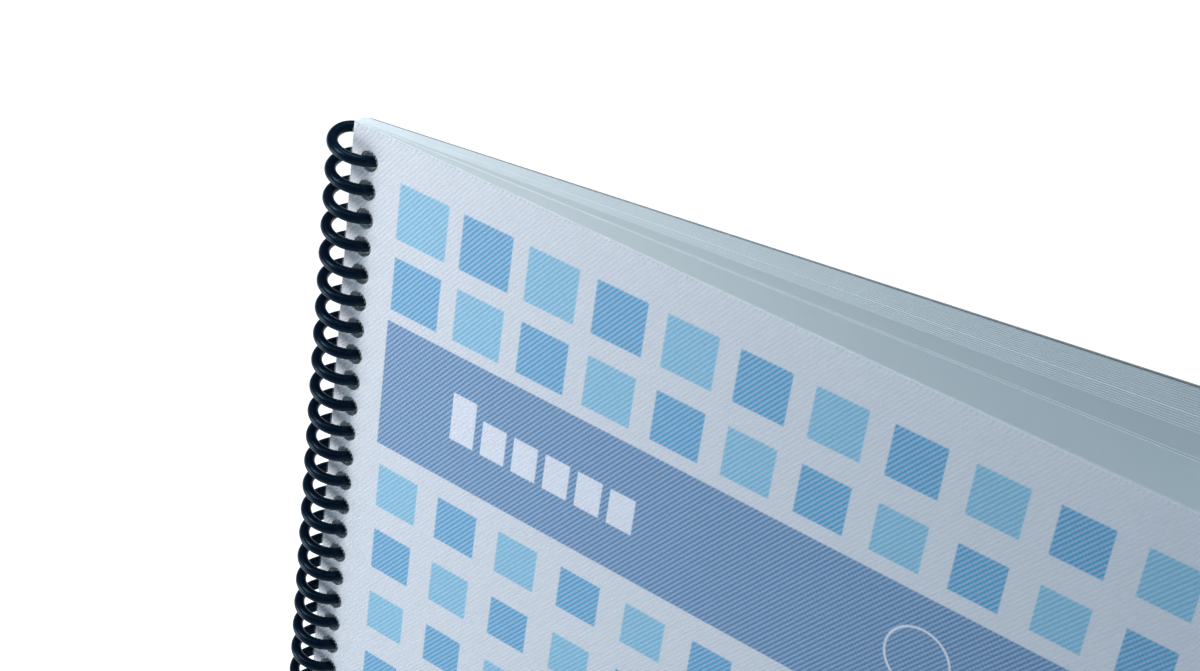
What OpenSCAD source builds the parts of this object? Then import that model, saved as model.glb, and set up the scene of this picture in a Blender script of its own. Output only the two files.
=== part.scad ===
// A4 report bound with a plastic coil, standing on its bottom edge with its sheets slightly fanned.
// Millimetres. Z runs up the coil. X runs from the coil towards the fore edge. Y runs from front to back.
// The base of the sheets is at z = 0, and x = 0, y = 0 is the middle of the whole object seen from above.

/* [Sheets] */
// Height of every sheet, along the coil
page_h = 297; // [210:1:420]
// Width of every sheet, from binding edge to fore edge
page_w = 210; // [140:1:300]
// Thickness of each cover
cover_t = 0.4; // [0.2:0.05:0.6]
// Corner radius of the covers
cover_corner = 2; // [0.5:0.5:6]
// Thickness of a paper leaf
leaf_t = 0.1; // [0.08:0.01:0.12]
// Space between neighbouring sheets at the coil
sheet_gap = 0.02; // [0.01:0.01:0.05]

/* [Holes] */
// Number of holes along the binding edge
hole_count = 46; // [20:1:60]
// Diameter of the holes
hole_d = 4.5; // [4:0.1:5]
// Binding edge to hole centres
hole_edge = 4.5; // [4:0.1:5]
// Top edge to the centre of the top hole
hole_top = 7; // [5:0.1:9]

/* [Coil] */
// Rise of the wire in one turn, which is also the hole spacing
pitch = 6.35; // [5:0.05:8.5]
// Radius of the wire's centreline about the coil axis
coil_r = 4.85; // [4.8:0.05:8]
// Diameter of the wire
wire_d = 2.3; // [1.8:0.1:2.6]
// How far the wire lies below the hole centres in the middle of the stack
wire_low = 0.49; // [0:0.01:0.6]
// Radius of the crimped bend at each end of the wire
crimp_r = 2; // [1.6:0.1:2.5]
// Angle each end of the wire is bent inwards
crimp_turn = 75; // [30:5:80]
// Angle by which the last quarter turn at the top is pressed down
press = 20; // [0:1:20]

/* [Fan] */
// Opening between the two covers
fan = 12.1; // [6:0.1:20]

/* [Hidden] */

// Sheets are counted from the back: 0 is the back cover, 1 to 23 are leaf_23 to leaf_01,
// 24 is the title page and 25 the front cover. Each value is the turn from the sheet behind.
turns = [
    0,
    0.25, 0.25, 0.25, 0.25, 0.25, 0.25, 0.25, 0.25, 0.25, 0.25, 0.25, 0.25,
    0, 0.25, 0.25, 0.25, 0.25, 0.25, 0.25,
    2.6, 0.25, 4.55, 0.1,
    0, 0.1,
];
last = len(turns) - 1;
function turned(j) = j == 0 ? 0 : turned(j - 1) + turns[j];
function angle_of(j) = fan / 2 - turned(j) * fan / turned(last);

// distance of a sheet's middle plane behind the middle of the stack
stack_t = 2 * cover_t + (last - 1) * leaf_t + last * sheet_gap;
function thick(j) = j == 0 || j == last ? cover_t : leaf_t;
function offset_of(j) =
    j == 0 ? stack_t / 2 - cover_t / 2 :
    j == last ? cover_t / 2 - stack_t / 2 :
    stack_t / 2 - cover_t - sheet_gap - leaf_t / 2 - (j - 1) * (leaf_t + sheet_gap);

// distance from the coil axis to the hole centres and to the binding edges
outer = stack_t / 2 - cover_t / 2;
hole_x = (coil_r + sqrt(coil_r * coil_r - outer * outer)) / 2;
edge_x = hole_x - hole_edge;
hole_z = page_h - hole_top;

// coil axis to the middle of the whole object
function reach(j) = (edge_x + page_w) * cos(angle_of(j))
    + max(-(offset_of(j) - thick(j) / 2) * sin(angle_of(j)), -(offset_of(j) + thick(j) / 2) * sin(angle_of(j)));
axis_x = -(max([for (j = [0 : last]) reach(j)]) - coil_r - wire_d / 2) / 2;

// The wire is a chain of arcs, four to a turn. Each lies in its own tilted plane, and they meet
// on the coil radius running the same way, so the chain is smooth.
arcs = 4;
half = 180 / arcs;
tilt = atan(pitch / arcs / (2 * coil_r * sin(half)));
arc_c = -coil_r * cos(half) * tan(tilt) * tan(tilt);
arc_r = norm([coil_r * cos(half) / pow(cos(tilt), 2), coil_r * sin(half) / cos(tilt)]);
arc_half = atan(tan(half) * cos(tilt));
end_slope = atan(tan(tilt) * cos(half));
wire_top = hole_z - wire_low + pitch * 0.75;
arc_count = arcs * hole_count;

// the joints in the wire: every second arc is a hair thinner and runs on into its neighbours
thinner = 0.02;
arc_lap = 1.2;
crimp_lap = 3;

arc_facets = 96;
wire_facets = 32;
hole_facets = 32;
corner_facets = 48;
// length of the cutter of a hole, well over any sheet's thickness
hole_cut = 2;

module at_coil() {
    translate([axis_x, 0, 0]) children();
}

module wire_round(less) {
    circle(d = wire_d - less, $fn = wire_facets);
}

// one quarter turn of wire
module arc_piece(i) {
    thin = i % 2 == 1;
    lap = thin ? arc_lap : 0;
    translate([0, 0, wire_top - pitch * (i + 0.5) / arcs])
        rotate([0, 0, (135 + 90 * i) % 360])
            rotate([-tilt, 0, 0])
                translate([arc_c, 0, 0])
                    rotate([0, 0, -arc_half - lap])
                        rotate_extrude(angle = 2 * (arc_half + lap), $fn = arc_facets)
                            translate([arc_r, 0])
                                wire_round(thin ? thinner : 0);
}

// end of the wire bent inwards, in the plane of the turn it follows
module crimp(way) {
    translate([coil_r - crimp_r, 0, 0])
        rotate([0, 0, way > 0 ? 0 : -crimp_turn])
            rotate_extrude(angle = crimp_turn + (way > 0 ? 0 : crimp_lap), $fn = arc_facets)
                translate([crimp_r, 0])
                    wire_round(way > 0 ? 0 : thinner);
}

// last quarter turn at the top, pressed down so that it stays below the edge of the covers
module top_end() {
    translate([0, 0, wire_top - pitch / arcs])
        rotate([0, 0, 180])
            rotate([-end_slope, 0, 0])
                translate([coil_r, 0, 0])
                    rotate([0, -press, 0])
                        translate([-coil_r, 0, 0])
                            rotate([0, 0, -90]) {
                                rotate_extrude(angle = 90, $fn = arc_facets)
                                    translate([coil_r, 0])
                                        wire_round(0);
                                crimp(-1);
                            }
}

module bottom_end() {
    translate([0, 0, wire_top - pitch * arc_count / arcs])
        rotate([0, 0, 90])
            rotate([-end_slope, 0, 0])
                crimp(1);
}

module coil() {
    color([0.035, 0.06, 0.12])
        at_coil()
            union() {
                for (i = [1 : arc_count - 1])
                    arc_piece(i);
                top_end();
                bottom_end();
            }
}

module holes() {
    for (k = [0 : hole_count - 1])
        translate([hole_x, 0, hole_z - pitch * k])
            rotate([90, 0, 0])
                cylinder(h = hole_cut, d = hole_d, center = true, $fn = hole_facets);
}

// turns a sheet to its place in the fan
module in_fan(j) {
    at_coil()
        rotate([0, 0, angle_of(j)])
            translate([0, offset_of(j), 0])
                children();
}

module leaf(j) {
    in_fan(j)
        difference() {
            translate([edge_x, -leaf_t / 2, 0])
                cube([page_w, leaf_t, page_h]);
            holes();
        }
}

module cover(j) {
    c = cover_corner;
    in_fan(j)
        difference() {
            union() {
                translate([edge_x + c, -cover_t / 2, 0])
                    cube([page_w - 2 * c, cover_t, page_h]);
                translate([edge_x, -cover_t / 2, c])
                    cube([page_w, cover_t, page_h - 2 * c]);
                for (x = [c, page_w - c])
                    for (z = [c, page_h - c])
                        translate([edge_x + x, 0, z])
                            rotate([90, 0, 0])
                                cylinder(h = cover_t, r = c, center = true, $fn = corner_facets);
            }
            holes();
        }
}

module back_cover() {
    color([0.46, 0.48, 0.5]) cover(0);
}

module title_page() {
    color([0.86, 0.88, 0.93]) leaf(24);
}

module front_cover() {
    color([0.8, 0.84, 0.9, 0.5]) cover(25);
}

module leaf_01() {
    color([0.82, 0.86, 0.91]) leaf(23);
}

module leaf_02() {
    color([0.82, 0.86, 0.91]) leaf(22);
}

module leaf_03() {
    color([0.82, 0.86, 0.91]) leaf(21);
}

module leaf_04() {
    color([0.82, 0.86, 0.91]) leaf(20);
}

module leaf_05() {
    color([0.82, 0.86, 0.91]) leaf(19);
}

module leaf_06() {
    color([0.82, 0.86, 0.91]) leaf(18);
}

module leaf_07() {
    color([0.82, 0.86, 0.91]) leaf(17);
}

module leaf_08() {
    color([0.82, 0.86, 0.91]) leaf(16);
}

module leaf_09() {
    color([0.82, 0.86, 0.91]) leaf(15);
}

module leaf_10() {
    color([0.82, 0.86, 0.91]) leaf(14);
}

module leaf_11() {
    color([0.82, 0.86, 0.91]) leaf(13);
}

module leaf_12() {
    color([0.82, 0.86, 0.91]) leaf(12);
}

module leaf_13() {
    color([0.82, 0.86, 0.91]) leaf(11);
}

module leaf_14() {
    color([0.82, 0.86, 0.91]) leaf(10);
}

module leaf_15() {
    color([0.82, 0.86, 0.91]) leaf(9);
}

module leaf_16() {
    color([0.82, 0.86, 0.91]) leaf(8);
}

module leaf_17() {
    color([0.82, 0.86, 0.91]) leaf(7);
}

module leaf_18() {
    color([0.82, 0.86, 0.91]) leaf(6);
}

module leaf_19() {
    color([0.82, 0.86, 0.91]) leaf(5);
}

module leaf_20() {
    color([0.82, 0.86, 0.91]) leaf(4);
}

module leaf_21() {
    color([0.82, 0.86, 0.91]) leaf(3);
}

module leaf_22() {
    color([0.82, 0.86, 0.91]) leaf(2);
}

module leaf_23() {
    color([0.82, 0.86, 0.91]) leaf(1);
}

coil();
back_cover();
leaf_01();
leaf_02();
leaf_03();
leaf_04();
leaf_05();
leaf_06();
leaf_07();
leaf_08();
leaf_09();
leaf_10();
leaf_11();
leaf_12();
leaf_13();
leaf_14();
leaf_15();
leaf_16();
leaf_17();
leaf_18();
leaf_19();
leaf_20();
leaf_21();
leaf_22();
leaf_23();
title_page();
front_cover();
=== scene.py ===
"""A coil-bound A4 report standing upright, slightly fanned: looks, light and camera round the CAD frame."""

import math

import bpy
from mathutils import Matrix, Vector


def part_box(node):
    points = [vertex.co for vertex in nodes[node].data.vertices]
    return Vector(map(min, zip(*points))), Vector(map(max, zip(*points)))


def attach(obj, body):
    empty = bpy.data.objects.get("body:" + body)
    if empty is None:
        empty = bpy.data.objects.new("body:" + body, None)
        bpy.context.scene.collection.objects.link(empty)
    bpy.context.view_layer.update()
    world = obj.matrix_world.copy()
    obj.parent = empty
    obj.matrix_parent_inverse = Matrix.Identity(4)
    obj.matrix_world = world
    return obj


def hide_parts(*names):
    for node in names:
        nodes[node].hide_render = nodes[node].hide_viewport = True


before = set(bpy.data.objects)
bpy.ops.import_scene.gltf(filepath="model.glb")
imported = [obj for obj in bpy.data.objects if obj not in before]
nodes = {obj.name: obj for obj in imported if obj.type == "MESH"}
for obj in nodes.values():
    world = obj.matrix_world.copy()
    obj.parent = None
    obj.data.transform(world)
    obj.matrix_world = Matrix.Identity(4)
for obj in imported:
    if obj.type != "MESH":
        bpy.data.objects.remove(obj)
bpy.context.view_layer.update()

# ---------------------------------------------------------------- sizes, in metres

WIRE_D = 0.0023
PITCH = 0.00635
LOOPS = 46
LEAVES = 23
CRIMP_R = 0.002
CRIMP_TURN = math.radians(75)
PRESS = math.radians(20)
HOLE_TOP = 0.007
WIRE_LOW = 0.00049
FAN = math.radians(12.1)

coil_lo, coil_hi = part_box("coil")
cover_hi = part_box("front_cover")[1]
AXIS_X = (coil_lo[0] + coil_hi[0]) / 2
COIL_R = (coil_hi[0] - coil_lo[0]) / 2 - WIRE_D / 2
SHEET_TOP = cover_hi[2]
# from the coil's axis to the sheets' binding edge
EDGE_X = 0.000206
# height of the wire in the middle of the top hole
WIRE_MID_TOP = SHEET_TOP - HOLE_TOP - WIRE_LOW

# ---------------------------------------------------------------- node helpers


class Tree:
    """A material's node tree, with short calls that build formulas out of nodes."""

    def __init__(self, name):
        self.material = bpy.data.materials.new(name)
        self.material.use_nodes = True
        self.tree = self.material.node_tree
        self.shader = self.tree.nodes["Principled BSDF"]

    def node(self, kind, **settings):
        made = self.tree.nodes.new(kind)
        for key, value in settings.items():
            setattr(made, key, value)
        return made

    def put(self, value, socket):
        if isinstance(value, bpy.types.NodeSocket):
            self.tree.links.new(value, socket)
        else:
            socket.default_value = value

    def math(self, operation, *values, clamp=False):
        made = self.node("ShaderNodeMath", operation=operation, use_clamp=clamp)
        for value, socket in zip(values, made.inputs):
            self.put(value, socket)
        return made.outputs[0]

    def add(self, a, b):
        return self.math("ADD", a, b)

    def sub(self, a, b):
        return self.math("SUBTRACT", a, b)

    def mul(self, a, b):
        return self.math("MULTIPLY", a, b)

    def most(self, a, b):
        return self.math("MAXIMUM", a, b)

    def soft_step(self, value, edge, width):
        """0 where value is well below edge, 1 where it is well above, with a soft ramp of that width."""
        return self.math("MULTIPLY_ADD", self.sub(value, edge), 1 / width, 0.5, clamp=True)

    def wave(self, across, down, angle, period):
        """A sine wave over a sheet, which runs at that angle below the horizontal."""
        along = self.add(self.mul(across, math.cos(angle)), self.mul(down, math.sin(angle)))
        return self.math("SINE", self.mul(along, 2 * math.pi / period))

    def mix(self, factor, a, b):
        made = self.node("ShaderNodeMix", data_type="RGBA")
        self.put(factor, made.inputs[0])
        self.put(a, made.inputs[6])
        self.put(b, made.inputs[7])
        return made.outputs[2]

    def object_point(self):
        return self.node("ShaderNodeTexCoord").outputs["Object"]

    def noise(self, point, scale, detail=3.0, roughness=0.5):
        made = self.node("ShaderNodeTexNoise")
        self.put(point, made.inputs["Vector"])
        made.inputs["Scale"].default_value = scale
        made.inputs["Detail"].default_value = detail
        made.inputs["Roughness"].default_value = roughness
        return made.outputs["Fac"]

    def stretched(self, point, scale):
        made = self.node("ShaderNodeVectorMath", operation="MULTIPLY")
        self.put(point, made.inputs[0])
        made.inputs[1].default_value = scale
        return made.outputs[0]

    def bump(self, height, distance, strength=1.0):
        made = self.node("ShaderNodeBump")
        self.put(height, made.inputs["Height"])
        made.inputs["Distance"].default_value = distance
        made.inputs["Strength"].default_value = strength
        self.put(made.outputs["Normal"], self.shader.inputs["Normal"])

    def sheet_point(self, angle):
        """How far from the binding edge and below the top edge, in mm, on a sheet at that fan angle."""
        made = self.node("ShaderNodeVectorMath", operation="DOT_PRODUCT")
        self.put(self.object_point(), made.inputs[0])
        made.inputs[1].default_value = (math.cos(angle), math.sin(angle), 0)
        start = AXIS_X * math.cos(angle) + EDGE_X
        across = self.mul(self.sub(made.outputs["Value"], start), 1000)
        split = self.node("ShaderNodeSeparateXYZ")
        self.put(self.object_point(), split.inputs[0])
        down = self.mul(self.sub(SHEET_TOP, split.outputs["Z"]), 1000)
        return across, down


# ---------------------------------------------------------------- printed page

# the printed design, in millimetres from the binding edge and below the top edge
TILE_STEP_ACROSS = 15.9
TILE_STEP_DOWN = 16.2
FIRST_TILE_ACROSS = 19.0
FIRST_TILE_DOWN = 14.65
TILE_SIZE = 12.4
TILE_SHRINK_ACROSS = 0.25
TILE_SHRINK_DOWN = 0.47
TILE_COLUMNS = 12
BAND_LEFT = 12.65
BAND_TOP = 39.5
BAND_BOTTOM = 69.2
RING_ACROSS = 139.0
RING_DOWN = 53.0
RING_RADIUS = 6.6
RING_LINE = 0.5
TITLE_LEFT = 31.0
TITLE_STEP = 7.9
TITLE_BLOCK = 6.0
TITLE_BLOCKS = 6
TITLE_BASE = 59.1
TITLE_HEIGHT = 8.0
TITLE_FIRST_TALLER = 3.0
SOFT = 0.25
SOFT_TITLE = 0.3

HALFTONE_PERIOD = 0.785
HALFTONE_ANGLE = math.radians(-40.3)

PAPER = (0.645, 0.70, 0.765, 1)
LIGHT_TILE = (0.125, 0.485, 0.71, 1)
DARK_TILE = (0.003, 0.33, 0.62, 1)
BAND = (0.012, 0.20, 0.45, 1)
PALE_INK = (0.72, 0.78, 0.88, 1)


def printed_colour(t, across, down):
    """The title page's squares, band, title blocks and ring, as one colour."""
    column = t.math("ROUND", t.mul(t.sub(across, FIRST_TILE_ACROSS), 1 / TILE_STEP_ACROSS))
    row = t.math("ROUND", t.mul(t.sub(down, FIRST_TILE_DOWN), 1 / TILE_STEP_DOWN))
    from_column = t.math(
        "ABSOLUTE", t.sub(across, t.add(FIRST_TILE_ACROSS, t.mul(column, TILE_STEP_ACROSS)))
    )
    from_row = t.math(
        "ABSOLUTE", t.sub(down, t.add(FIRST_TILE_DOWN, t.mul(row, TILE_STEP_DOWN)))
    )
    shrink = t.add(t.mul(column, TILE_SHRINK_ACROSS), t.mul(row, TILE_SHRINK_DOWN))
    half = t.mul(t.sub(TILE_SIZE, shrink), 0.5)
    inside = t.soft_step(t.sub(half, t.most(from_column, from_row)), 0, SOFT)
    on_grid = t.mul(
        t.mul(t.math("GREATER_THAN", column, -0.5), t.math("LESS_THAN", column, TILE_COLUMNS - 0.5)),
        t.math("GREATER_THAN", row, -0.5),
    )
    in_band_rows = t.mul(t.math("GREATER_THAN", row, 1.5), t.math("LESS_THAN", row, 3.5))
    tile = t.mul(t.mul(inside, on_grid), t.sub(1, in_band_rows))
    dark = t.math("PINGPONG", t.add(column, row), 1)
    colour = t.mix(tile, PAPER, t.mix(dark, LIGHT_TILE, DARK_TILE))

    band = t.mul(
        t.soft_step(across, BAND_LEFT, SOFT),
        t.mul(t.soft_step(down, BAND_TOP, SOFT), t.soft_step(t.mul(down, -1), -BAND_BOTTOM, SOFT)),
    )
    colour = t.mix(band, colour, BAND)

    block = t.math("FLOOR", t.mul(t.sub(across, TITLE_LEFT), 1 / TITLE_STEP))
    along = t.sub(t.sub(across, TITLE_LEFT), t.mul(block, TITLE_STEP))
    tall = t.mul(t.math("LESS_THAN", block, 0.5), TITLE_FIRST_TALLER)
    title = t.mul(
        t.mul(t.math("GREATER_THAN", block, -0.5), t.math("LESS_THAN", block, TITLE_BLOCKS - 0.5)),
        t.mul(
            t.soft_step(t.mul(along, -1), -TITLE_BLOCK, SOFT_TITLE),
            t.mul(
                t.soft_step(t.add(down, tall), TITLE_BASE - TITLE_HEIGHT, SOFT_TITLE),
                t.soft_step(t.mul(down, -1), -TITLE_BASE, SOFT_TITLE),
            ),
        ),
    )
    ring_x = t.sub(across, RING_ACROSS)
    ring_y = t.sub(down, RING_DOWN)
    radius = t.math("SQRT", t.add(t.mul(ring_x, ring_x), t.mul(ring_y, ring_y)))
    off_ring = t.math("ABSOLUTE", t.sub(radius, RING_RADIUS))
    ring = t.soft_step(t.mul(off_ring, -1), -RING_LINE / 2, SOFT)
    return t.mix(t.most(title, ring), colour, PALE_INK)


def title_page_material():
    t = Tree("printed_page")
    across, down = t.sheet_point(-FAN / 2)
    colour = printed_colour(t, across, down)
    # the ink is laid down in fine slanting lines, with the paper showing a little between them
    lines = t.wave(across, down, HALFTONE_ANGLE, HALFTONE_PERIOD)
    t.put(t.mix(t.math("MULTIPLY_ADD", lines, 0.06, 0.06), colour, PAPER), t.shader.inputs["Base Color"])
    t.shader.inputs["Roughness"].default_value = 0.6
    t.bump(t.noise(t.object_point(), 3000), 0.00001, 0.4)
    return t.material


# ---------------------------------------------------------------- cover, paper, card and coil materials

RIB_PERIOD = 0.823
RIB_ANGLE = math.radians(39)
CLEAR_STRIP = 1.0


def front_cover_material():
    """Frosted plastic sheet, embossed with fine slanting ribs, through which the page behind shows."""
    t = Tree("frosted_cover")
    across, down = t.sheet_point(-FAN / 2)
    ribs = t.wave(across, down, RIB_ANGLE, RIB_PERIOD)
    shown = t.mul(ribs, t.soft_step(across, CLEAR_STRIP, 0.4))
    tone = t.math("MULTIPLY_ADD", shown, 0.5, 0.5, clamp=True)
    # painted shade: the colour darkens along each rib, standing in for the shading of the embossed ribs,
    # beside the real bump below
    t.put(t.mix(tone, (0.85, 0.88, 0.93, 1), (0.60, 0.63, 0.70, 1)), t.shader.inputs["Base Color"])
    t.put(t.math("MULTIPLY_ADD", shown, 0.11, 0.115, clamp=True), t.shader.inputs["Alpha"])
    t.put(t.math("MULTIPLY_ADD", shown, -0.08, 0.42), t.shader.inputs["Roughness"])
    t.shader.inputs["IOR"].default_value = 1.49
    t.bump(tone, 0.00006, 0.5)
    return t.material


def paper_material(number):
    """Plain paper; each leaf's tone differs a little."""
    t = Tree("paper_%02d" % number)
    shift = 0.012 * math.sin(number * 2.4)
    # painted light: these paper colours are lighter and bluer than the title page's PAPER, standing in for
    # the light reaching the fanned leaves
    base = (0.88 + shift, 0.96 + shift, 0.985 + shift, 1)
    worn = (0.84 + shift, 0.93 + shift, 0.965 + shift, 1)
    point = t.object_point()
    t.put(t.mix(t.noise(point, 60, 4), base, worn), t.shader.inputs["Base Color"])
    t.shader.inputs["Roughness"].default_value = 0.7
    t.shader.inputs["Specular IOR Level"].default_value = 0.35
    t.bump(t.noise(point, 2500), 0.00003)
    return t.material


def card_material():
    """Grey back card with a pressed leather grain."""
    t = Tree("grained_card")
    point = t.object_point()
    cells = t.node("ShaderNodeTexVoronoi", feature="DISTANCE_TO_EDGE")
    t.put(point, cells.inputs["Vector"])
    cells.inputs["Scale"].default_value = 900
    grain = t.math("MULTIPLY_ADD", cells.outputs["Distance"], 3.0, 0.0, clamp=True)
    mottle = t.noise(point, 180, 5)
    tone = t.math("MULTIPLY_ADD", mottle, 0.5, t.mul(grain, 0.5))
    t.put(t.mix(tone, (0.36, 0.375, 0.385, 1), (0.50, 0.515, 0.525, 1)), t.shader.inputs["Base Color"])
    t.put(t.math("MULTIPLY_ADD", grain, -0.15, 0.62), t.shader.inputs["Roughness"])
    t.bump(t.add(grain, t.mul(mottle, 0.4)), 0.0001, 0.8)
    return t.material


def coil_material():
    """Glossy dark navy plastic, with a faint drawn grain."""
    t = Tree("coil_plastic")
    point = t.object_point()
    tone = t.noise(point, 900, 2)
    navy = t.mix(tone, (0.0003, 0.0026, 0.0095, 1), (0.0008, 0.0050, 0.0160, 1))
    t.put(navy, t.shader.inputs["Base Color"])
    t.put(t.math("MULTIPLY_ADD", tone, 0.08, 0.28), t.shader.inputs["Roughness"])
    t.shader.inputs["IOR"].default_value = 1.45
    t.shader.inputs["Specular IOR Level"].default_value = 0.22
    t.shader.inputs["Specular Tint"].default_value = (0.35, 0.72, 1.0, 1)
    t.bump(t.noise(t.stretched(point, (1, 1, 4)), 1500), 0.00001)
    return t.material


def dress(name, material):
    mesh = nodes[name].data
    mesh.materials.clear()
    mesh.materials.append(material)


# ---------------------------------------------------------------- coil

STEPS_A_TURN = 48
SIDES = 20
CRIMP_STEPS = 12


def helix_point(angle):
    """A point on the wire's centreline; the wire falls as the angle grows anticlockwise seen from above."""
    return Vector((
        AXIS_X + COIL_R * math.cos(angle),
        COIL_R * math.sin(angle),
        WIRE_MID_TOP - PITCH * angle / (2 * math.pi),
    ))


def bent_inwards(end, ahead, inwards):
    """The crimped end of the wire, on from its end point, in the plane of the turn it follows."""
    made = []
    for i in range(1, CRIMP_STEPS + 1):
        a = CRIMP_TURN * i / CRIMP_STEPS
        made.append(end + ahead * CRIMP_R * math.sin(a) + inwards * CRIMP_R * (1 - math.cos(a)))
    return made


def wire_path():
    """The whole centreline, from the crimped top end down to the crimped bottom end."""
    first = -math.pi
    last = math.radians(360 * (LOOPS - 1) + 90)
    count = round((last - first) / (2 * math.pi) * STEPS_A_TURN)
    turns = [helix_point(first + (last - first) * i / count) for i in range(count + 1)]
    slope = math.atan(PITCH / (2 * math.pi * COIL_R))

    # the last quarter turn at the top leans down, so it stays below the edge of the covers
    left_ahead = Vector((0, math.cos(slope), math.sin(slope)))
    left_inwards = Vector((1, 0, 0)) * math.cos(PRESS)
    left_inwards += Vector((0, math.sin(slope), -math.cos(slope))) * math.sin(PRESS)
    quarter = STEPS_A_TURN // 4
    top = []
    for i in range(1, quarter + 1):
        a = math.pi / 2 * i / quarter
        top.append(
            turns[0] + left_ahead * COIL_R * math.sin(a) + left_inwards * COIL_R * (1 - math.cos(a))
        )
    top += bent_inwards(top[-1], left_inwards, -left_ahead)
    back_ahead = Vector((-math.cos(slope), 0, -math.sin(slope)))
    return top[::-1] + turns + bent_inwards(turns[-1], back_ahead, Vector((0, -1, 0)))


def tube(name, path, radius):
    """A round tube along the path, with rounded ends, whose rings turn as little as they can."""
    verts = []
    faces = []
    count = len(path)
    tangents = [
        (path[min(i + 1, count - 1)] - path[max(i - 1, 0)]).normalized() for i in range(count)
    ]
    side = tangents[0].orthogonal().normalized()
    rings = []
    for i in range(count):
        side = (side - tangents[i] * side.dot(tangents[i])).normalized()
        rings.append((path[i], tangents[i], side.copy(), radius))
    rounding = [(0.30, 0.0), (0.75, 0.12), (0.95, 0.32)]
    head = [
        (path[0] + tangents[0] * radius * (ahead - 0.32), tangents[0], rings[0][2], radius * share)
        for share, ahead in rounding
    ]
    tail = [
        (path[-1] - tangents[-1] * radius * (ahead - 0.32), tangents[-1], rings[-1][2], radius * share)
        for share, ahead in reversed(rounding)
    ]
    rings = head + rings[1:-1] + tail
    for centre, tangent, across, size in rings:
        up = tangent.cross(across)
        for k in range(SIDES):
            a = 2 * math.pi * k / SIDES
            verts.append(centre + (across * math.cos(a) + up * math.sin(a)) * size)
    for i in range(len(rings) - 1):
        for k in range(SIDES):
            a = i * SIDES + k
            b = i * SIDES + (k + 1) % SIDES
            faces.append((a, b, b + SIDES, a + SIDES))
    faces.append(tuple(reversed(range(SIDES))))
    faces.append(tuple(range((len(rings) - 1) * SIDES, len(rings) * SIDES)))
    mesh = bpy.data.meshes.new(name)
    mesh.from_pydata(verts, [], faces)
    mesh.update()
    for face in mesh.polygons:
        face.use_smooth = True
    piece = bpy.data.objects.new(name, mesh)
    bpy.context.scene.collection.objects.link(piece)
    return piece


def make_coil():
    piece = tube("plastic_coil", wire_path(), WIRE_D / 2)
    piece.data.materials.append(coil_material())
    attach(piece, "coil_and_back_cover")
    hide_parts("coil")


# ---------------------------------------------------------------- stage, light, camera

FLOOR_SIZE = 40.0
# the floor's glow is painted light, and its dim patch in front of the object is painted shade
FLOOR_PATCH_Y = -0.28
FLOOR_PATCH_RADIUS = 0.28
FLOOR_PATCH_SOFTNESS = 0.26
FLOOR_BEHIND_Y = -0.10
FLOOR_BEHIND_SOFTNESS = 0.30
PATCH_GLOW = 0.06
OPEN_FLOOR_GLOW = 0.22
BEHIND_GLOW = 0.5


def make_floor():
    size = FLOOR_SIZE / 2
    mesh = bpy.data.meshes.new("floor")
    corners = [(-size, -size, 0), (size, -size, 0), (size, size, 0), (-size, size, 0)]
    mesh.from_pydata(corners, [], [(0, 1, 2, 3)])
    floor = bpy.data.objects.new("floor", mesh)
    bpy.context.scene.collection.objects.link(floor)
    t = Tree("floor_glow_painted_light")
    # painted light: the floor glows like a studio backdrop though it is no lamp, strongest behind the
    # object, least close in front of it, where the dim patch is painted shade round the object
    split = t.node("ShaderNodeSeparateXYZ")
    t.put(t.object_point(), split.inputs[0])
    sideways = t.mul(split.outputs["X"], 0.7)
    ahead = t.sub(split.outputs["Y"], FLOOR_PATCH_Y)
    away = t.math("SQRT", t.add(t.mul(sideways, sideways), t.mul(ahead, ahead)))
    glow = t.soft_step(away, FLOOR_PATCH_RADIUS, FLOOR_PATCH_SOFTNESS)
    behind = t.soft_step(split.outputs["Y"], FLOOR_BEHIND_Y, FLOOR_BEHIND_SOFTNESS)
    low = t.math("MULTIPLY_ADD", glow, OPEN_FLOOR_GLOW, PATCH_GLOW)
    strength = t.math("MULTIPLY_ADD", behind, BEHIND_GLOW, low)
    t.put(strength, t.shader.inputs["Emission Strength"])
    t.shader.inputs["Emission Color"].default_value = (1, 1, 1, 1)
    t.shader.inputs["Base Color"].default_value = (0.9, 0.9, 0.9, 1)
    t.shader.inputs["Roughness"].default_value = 0.9
    floor.data.materials.append(t.material)


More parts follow.
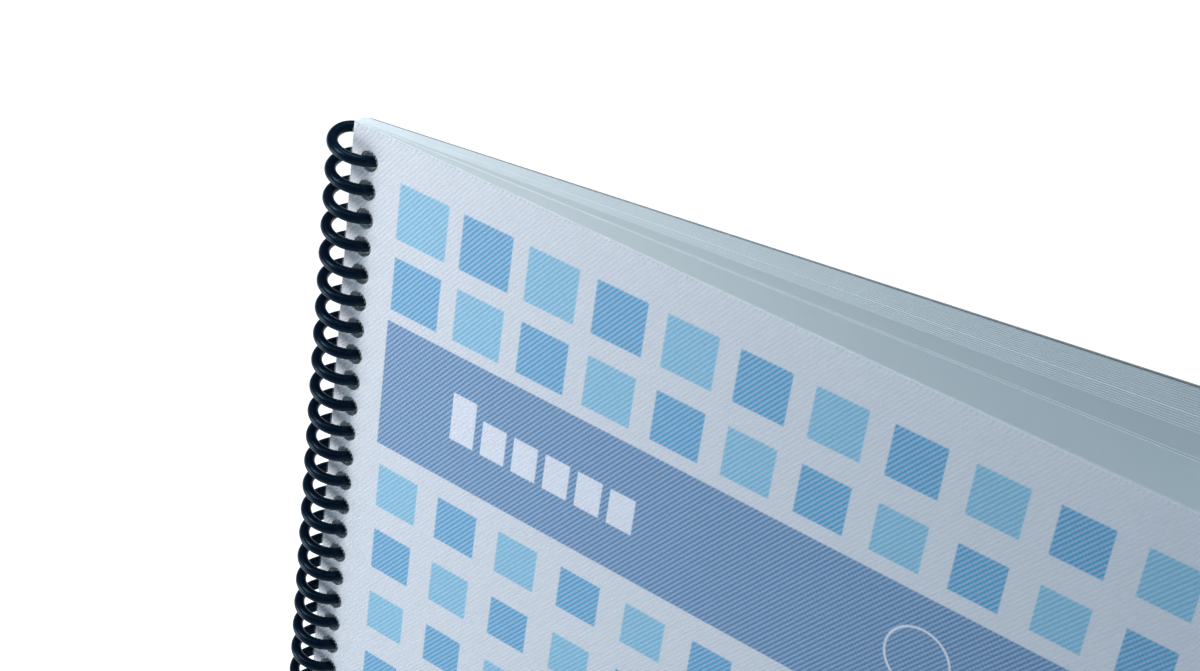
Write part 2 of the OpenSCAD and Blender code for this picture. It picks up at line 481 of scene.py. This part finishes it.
def area_light(name, place, target, size, power, colour, spread=180):
    data = bpy.data.lights.new(name, "AREA")
    data.shape = "DISK"
    data.size = size
    data.energy = power
    data.color = colour
    data.spread = math.radians(spread)
    light = bpy.data.objects.new(name, data)
    light.location = place
    light.rotation_euler = (Vector(target) - Vector(place)).to_track_quat("-Z", "Y").to_euler()
    bpy.context.scene.collection.objects.link(light)


def make_light():
    world = bpy.data.worlds.new("studio")
    bpy.context.scene.world = world
    world.use_nodes = True
    background = world.node_tree.nodes["Background"]
    background.inputs["Color"].default_value = (0.45, 0.75, 1.0, 1)
    background.inputs["Strength"].default_value = 0.25
    area_light("key", (-0.235, -0.215, 0.5), (-0.13, 0, 0.26), 0.12, 0.25, (1.0, 0.93, 0.90), 100)
    area_light("low_left", (-0.42, -0.26, 0.13), (-0.11, 0, 0.15), 0.25, 0.36, (1.0, 0.97, 0.95), 100)
    area_light("top", (-0.05, 0.05, 1.5), (-0.05, 0.05, 0), 0.9, 7, (0.93, 0.97, 1.0))


CAMERA_PLACE = (0.1214, -0.3320, 0.4913)
CAMERA_AHEAD = (-0.3822, 0.7707, -0.5098)
CAMERA_RIGHT = (0.8539, 0.5054, 0.1240)
CAMERA_LENS_MM = 67.7
SENSOR_MM = 36
NEAR_CLIP = 0.01


def make_camera():
    """The camera stands in front, to the right and above, and looks down on the top of the coil."""
    place = Vector(CAMERA_PLACE)
    ahead = Vector(CAMERA_AHEAD).normalized()
    right = Vector(CAMERA_RIGHT)
    right = (right - ahead * right.dot(ahead)).normalized()
    up = right.cross(ahead)
    data = bpy.data.cameras.new("camera")
    data.sensor_width = SENSOR_MM
    data.lens = CAMERA_LENS_MM
    data.clip_start = NEAR_CLIP
    camera = bpy.data.objects.new("camera", data)
    turn = Matrix((right, up, -ahead)).transposed()
    camera.matrix_world = Matrix.Translation(place) @ turn.to_4x4()
    bpy.context.scene.collection.objects.link(camera)
    bpy.context.scene.camera = camera


make_camera()
make_light()
make_floor()
bpy.context.scene.view_settings.view_transform = "Standard"

make_coil()
dress("front_cover", front_cover_material())
dress("title_page", title_page_material())
dress("back_cover", card_material())
for number in range(1, LEAVES + 1):
    dress("leaf_%02d" % number, paper_material(number))
